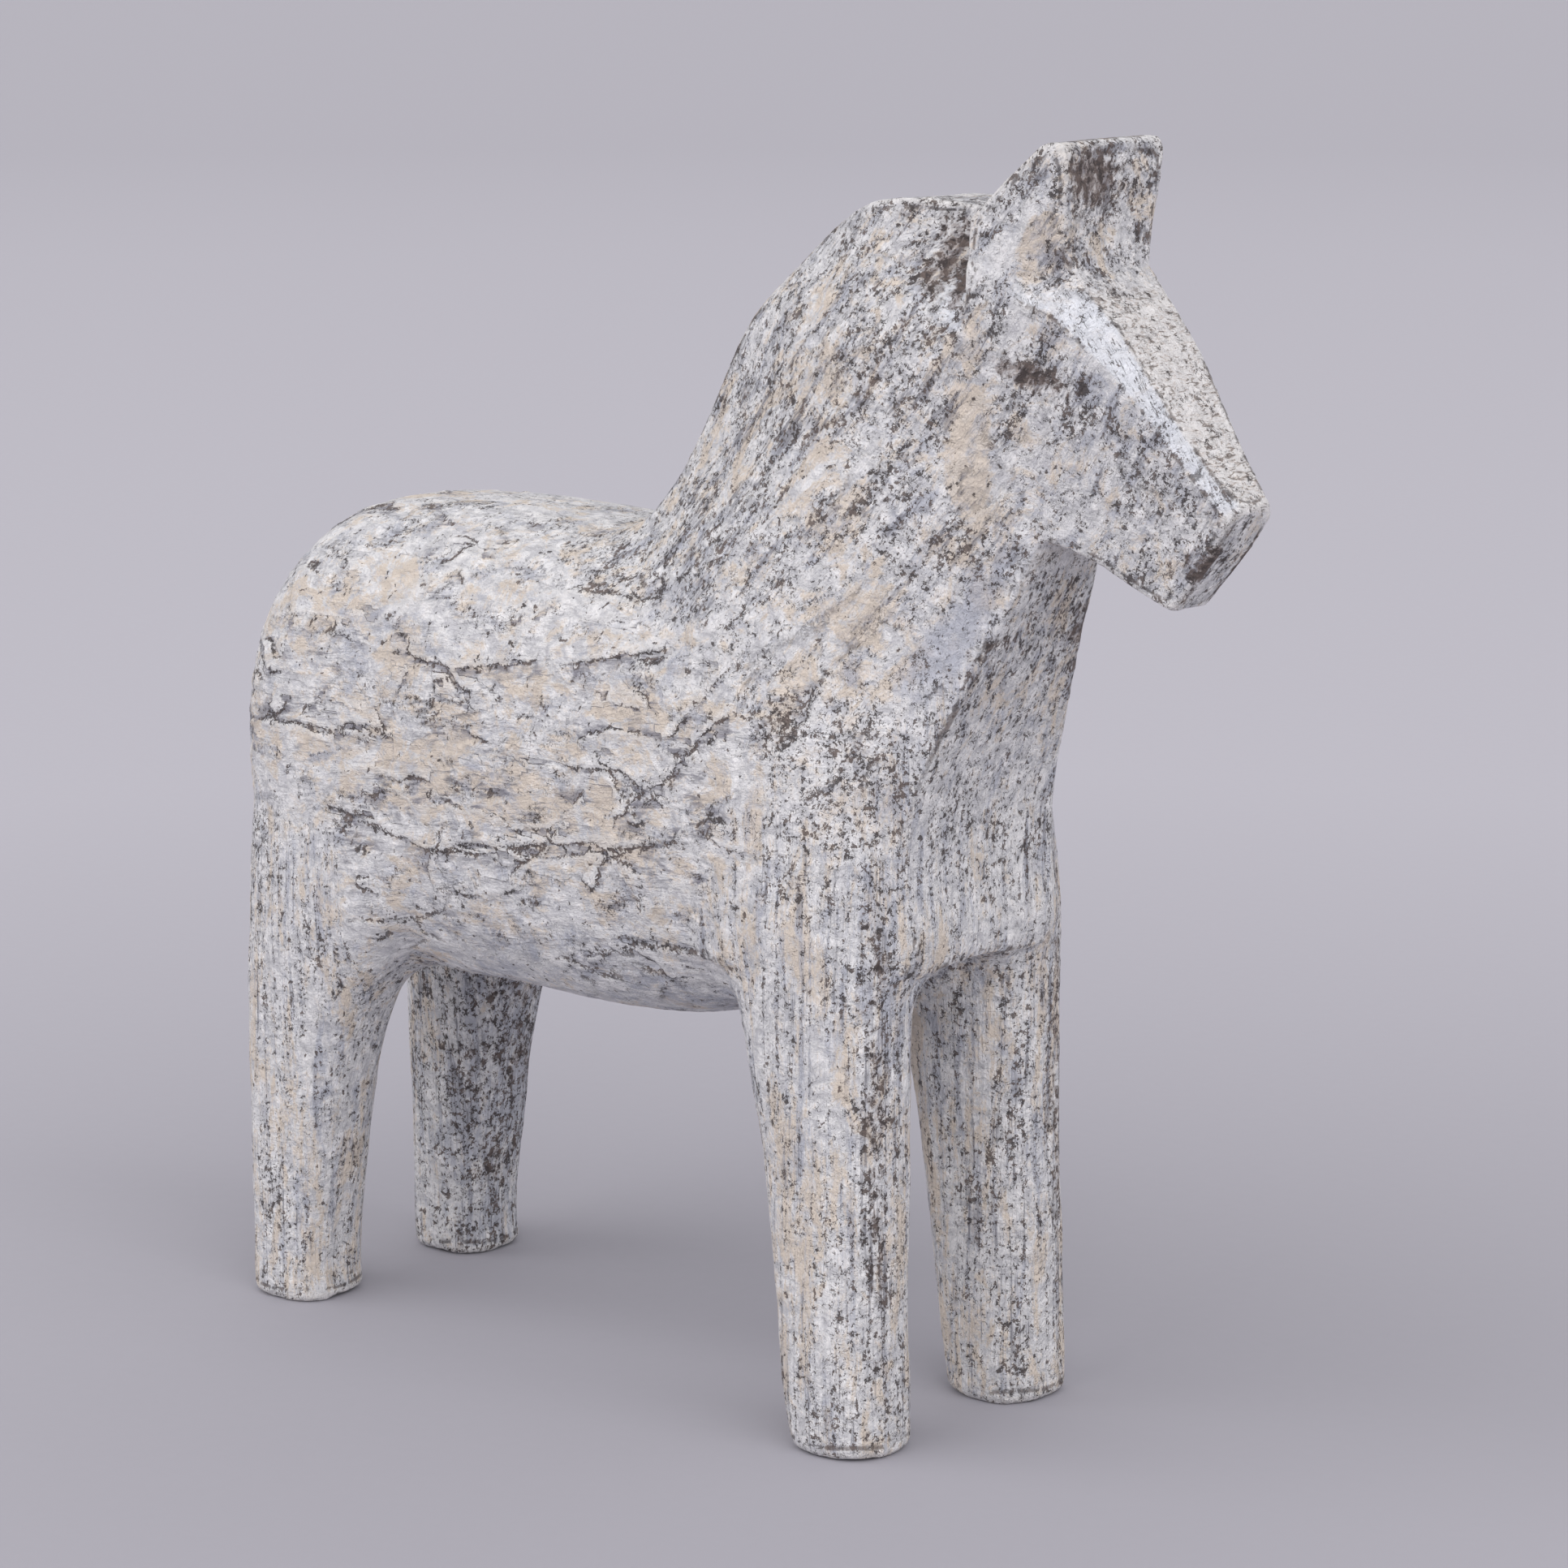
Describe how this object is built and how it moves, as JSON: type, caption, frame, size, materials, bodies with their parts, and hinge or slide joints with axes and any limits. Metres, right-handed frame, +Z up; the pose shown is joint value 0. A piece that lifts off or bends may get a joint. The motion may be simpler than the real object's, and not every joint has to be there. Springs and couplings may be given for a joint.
{
  "type": "carved wooden horse figure",
  "caption": "Standing horse carved from a glued-up wooden blank, with a faceted head, ears in one block, a rounded barrel and stout tapered legs.",
  "frame": {"origin": "the middle of the horse's length and width, on the surface it stands on", "axes": "+X towards the nose, +Y towards the horse's left side, +Z up"},
  "size_m": [0.2881, 0.0874, 0.297],
  "materials": {
    "painted_wood": "distressed off-white, cream and blue-grey paint rubbed back to dark wood, matte to satin",
    "dowel_wood": "bare turned beech"
  },
  "bodies": {
    "root": {"right_fore_board": "painted_wood", "right_middle_board": "painted_wood", "right_hind_board": "painted_wood", "centre_fore_board": "painted_wood", "centre_middle_board": "painted_wood", "centre_hind_board": "painted_wood", "left_fore_board": "painted_wood", "left_middle_board": "painted_wood", "left_hind_board": "painted_wood", "neck_dowel": "dowel_wood", "shoulder_dowel": "dowel_wood", "flank_dowel": "dowel_wood", "rump_dowel": "dowel_wood", "fore_seam_dowel_upper": "dowel_wood", "fore_seam_dowel_lower": "dowel_wood", "hind_seam_dowel_upper": "dowel_wood", "hind_seam_dowel_lower": "dowel_wood"}
  },
  "joints": []
}
